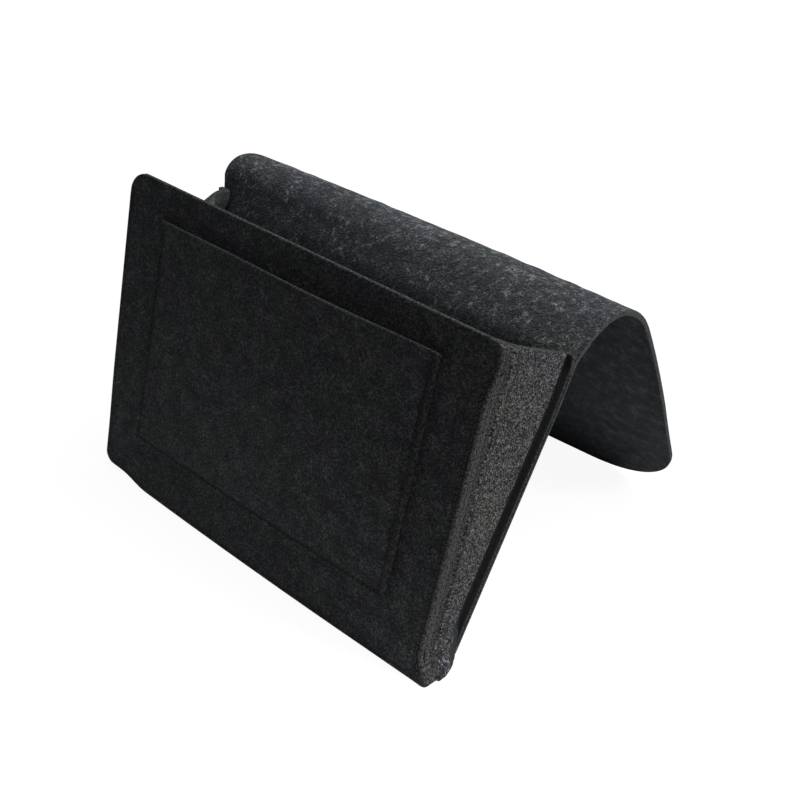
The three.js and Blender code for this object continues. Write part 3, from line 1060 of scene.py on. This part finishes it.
# Gusset

# Numbers of rows on a side, round a corner and on half the bottom, and the gap from a side to a corner
SIDE_ROWS = 38
CORNER_ROWS = 19
BOTTOM_ROWS = 26
CORNER_GAP = 4
# Distances of columns from the cut edge and from the fold, and the number of columns in the fold
FLANGE_STEPS = [0, 0.12, 0.4, 0.8, 1.3, 1.9, 2.6, 3.4, 4.2]
WALL_STEPS = [0.8, 1.7, 2.7, 3.8, 5.0, 6.5, 8, 9.2, 9.9, 10.5, 11.1, 11.8, 13.5, 18, 24, WALL_SHARE / 2]
FOLD_COLUMNS = 8


def strip_rows():
    """Stations along the gusset, close together at the top edges and round the corners."""
    side = np.concatenate([EDGE_STEPS, np.linspace(GRID_START, side_run - CORNER_GAP, SIDE_ROWS)])
    corner = side_run + np.linspace(0, corner_run, CORNER_ROWS)
    bottom = side_run + corner_run + np.linspace(0, bottom_run / 2, BOTTOM_ROWS)[1:]
    half = np.concatenate([side, corner, bottom])
    return np.concatenate([half, strip_length - half[-2::-1]])


def strip_columns():
    """Stations across it, close together at the edges, in the folds and at the dark line on the wall."""
    fold = flange_run + np.linspace(0, fold_run, FOLD_COLUMNS)
    half = np.concatenate([FLANGE_STEPS, fold, wall_start + np.array(WALL_STEPS)])
    return np.concatenate([half, strip_width - half[-2::-1]])


gusset = felt_slab(
    "gusset_felt",
    strip_columns(),
    strip_rows(),
    lambda x, s: (x, s),
    place_gusset,
    felt_gusset,
    dent=gusset_dent,
    edges=(0.8, 0.15),
    seed=40,
    lumps=0.08,
    crease=gusset_crease,
)


# Back sheet

# Start, end and step of the close rows in the fold
FOLD_ROWS = (196, 322, 2.0)
SEAM_END = 6
# Where the right edge's pinch ends along the sheet
PINCH_TOP = (200, 190)
# The margins' painted shade: distances from the right edge and from the middle to the left at which the two
# start and are full, the same along the sheet, and how dark the left one is
RIGHT_MARGIN = (6, 4)
RIGHT_MARGIN_TOP = (204, 194)
LEFT_MARGIN = (132, 146)
LEFT_MARGIN_TOP = (222, 206)
LEFT_MARGIN_SHADE = 0.7

back_seam_top = BACK_LENGTH - SEAM_END
back_dent = seam_dent(back_width, BOTTOM_RADIUS, back_seam_top, SEAM_GROOVE)
back_press = seam_press(back_width, back_seam_top)


def sheet_rows():
    """Stations along the back sheet, close together in the fold."""
    rows = spaced(SHEET_LENGTH)
    fold = np.arange(*FOLD_ROWS)
    rows = rows[(rows < fold[0] - 1) | (rows > fold[-1] + 1)]
    return np.sort(np.concatenate([rows, fold]))


def back_faces(x, s):
    """The back sheet's faces: its seam, and its right edge pinched thin by it."""
    pinch = wear(back_width / 2 - x, reach=3, depth=2.0) * smooth(s, *PINCH_TOP)
    return pinch - back_press(x, s), back_dent(x, s)


def back_painted_shade(x, s):
    """Painted shade in the margins of the sheet's face: beside the gusset's right flange, and above the
    left one.
    """
    right = EVENLY_DARK * smooth(back_width / 2 - x, *RIGHT_MARGIN) * smooth(s, *RIGHT_MARGIN_TOP)
    left = LEFT_MARGIN_SHADE * smooth(-x, *LEFT_MARGIN) * smooth(s, *LEFT_MARGIN_TOP)
    return np.maximum(left, right), np.zeros(len(x))


back_sheet = felt_slab(
    "back_sheet_felt",
    spaced_across(back_width),
    sheet_rows(),
    flat_outline(back_width, SHEET_LENGTH, *BACK_FOOT_RADII, *FLAP_END_RADII),
    place_back,
    felt_sheet,
    dent=back_faces,
    edges=(1.0, 1.1),
    seed=50,
    crease=back_painted_shade,
)


# Stitched seams

front_path = u_path(FRONT_WIDTH, BOTTOM_RADIUS, front_seam_top)
back_path = u_path(back_width, BOTTOM_RADIUS, back_seam_top)
patch_path = u_path(PATCH_WIDTH, STITCH_INSET + PATCH_SEAM_RADIUS, patch_seam_top)
front_stitches = stitches("front_seam_stitches", front_path, place_front, SEAM_SINK, thread, 61)
back_stitches = stitches("back_seam_stitches", back_path, place_back, SEAM_SINK, thread, 62, side=-1)
patch_stitches = stitches("patch_seam_stitches", patch_path, place_patch, PATCH_SINK, thread, 63)

# What each piece stands for, and the body that it moves with
stands_for = {
    front_panel: "front_panel",
    inner_pocket: "inner_pocket",
    patch_pocket: "patch_pocket",
    gusset: "gusset",
    front_stitches: "front_seam_thread",
    back_stitches: "back_seam_thread",
    patch_stitches: "patch_seam_thread",
}
for piece, cad_node in stands_for.items():
    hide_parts(cad_node)
    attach(piece, "pocket")
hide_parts("back_panel", "mattress_flap")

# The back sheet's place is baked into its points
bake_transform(back_sheet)


# Floor, light and camera, in metres

FLOOR_HALF = 60.0
FLOOR_SHADE = 0.12
FLOOR_GLOW = 0.93
# The floor throws light back on the caddy round this place: how much near it and far from it, and how far
BOUNCE_PLACE = (-0.02, -0.1, 0)
BOUNCE_NEAR = 0.88
BOUNCE_FAR = 0.06
BOUNCE_REACH = (0.14, 0.5)
WHITE = (1, 1, 1, 1)


def floor():
    """A floor that looks white, with soft shadows, and throws light back mainly near the caddy."""
    h = FLOOR_HALF
    mesh = bpy.data.meshes.new("floor")
    mesh.from_pydata([(-h, -h, 0), (h, -h, 0), (h, h, 0), (-h, h, 0)], [], [(0, 1, 2, 3)])
    m = Nodes("floor_white")
    sight = m.add("ShaderNodeLightPath").outputs["Is Camera Ray"]
    place = m.add("ShaderNodeNewGeometry").outputs["Position"]
    reach = m.band(m.vector("DISTANCE", place, BOUNCE_PLACE, output="Value"), *BOUNCE_REACH)
    bounce = m.ramp(reach, [(0.0, grey(BOUNCE_NEAR)), (1.0, grey(BOUNCE_FAR))])
    material = m.shade({
        "Base Color": m.mix(sight, bounce, grey(FLOOR_SHADE)),
        "Roughness": 0.9,
        "Specular IOR Level": 0.0,
        "Emission Color": WHITE,
        "Emission Strength": m.math("MULTIPLY", sight, FLOOR_GLOW),
    })
    mesh.materials.append(material)
    link("floor", mesh)


def world_light(strength):
    """Even light of that strength from all round, on a background that looks white."""
    world = bpy.data.worlds.new("studio")
    bpy.context.scene.world = world
    world.use_nodes = True
    tree = world.node_tree
    background = tree.nodes["Background"].inputs
    background["Color"].default_value = WHITE
    level = tree.nodes.new("ShaderNodeMapRange")
    level.inputs["To Min"].default_value = strength
    level.inputs["To Max"].default_value = 1.0
    path = tree.nodes.new("ShaderNodeLightPath")
    tree.links.new(path.outputs["Is Camera Ray"], level.inputs["Value"])
    tree.links.new(level.outputs[0], background["Strength"])


def shine_from(obj, direction):
    """Turns a light so that it shines from that direction."""
    obj.rotation_euler = Vector(direction).to_track_quat("Z", "Y").to_euler()


def lamp(name, place, target, size, power):
    """A square lamp at a place, turned to its target."""
    data = bpy.data.lights.new(name, "AREA")
    data.size = size
    data.energy = power
    obj = link(name, data)
    obj.location = place
    shine_from(obj, Vector(place) - Vector(target))


def sun(name, direction, level, spread, colour):
    """An even light from far away. At level 1, a white card that faces it would look white."""
    data = bpy.data.lights.new(name, "SUN")
    data.energy = level * math.pi
    data.angle = math.radians(spread)
    data.color = colour
    shine_from(link(name, data), direction)


floor()
world_light(strength=0.17)
sun("overhead", direction=(0.15, 0.05, 0.99), level=0.53, spread=40, colour=(0.95, 1.0, 1.05))
lamp("side", place=(0.95, 0.15, 0.95), target=(0.1, -0.1, 0.15), size=0.35, power=8.8)

# The photo's view of the caddy: the directions of the picture, and its place to the right of the middle,
# before the front panel and above the floor
LENS = 48.27
VIEW_RIGHT = (0.7583, 0.6212, 0.1977)
VIEW_UP = (-0.4097, 0.2181, 0.8858)
VIEW_BACK = (0.5071, -0.7527, 0.4199)
VIEW_X, VIEW_BEFORE, VIEW_Z = 0.4033, 0.4552, 0.4209

camera = link("camera", bpy.data.cameras.new("camera"))
camera.data.sensor_width = 36
camera.data.lens = LENS
camera.data.clip_start = 0.01
turn = Matrix([VIEW_RIGHT, VIEW_UP, VIEW_BACK]).transposed()
camera.matrix_world = Matrix.Translation((VIEW_X, front_y * MM - VIEW_BEFORE, VIEW_Z)) @ turn.to_4x4()
bpy.context.scene.camera = camera
bpy.context.scene.view_settings.view_transform = "Standard"
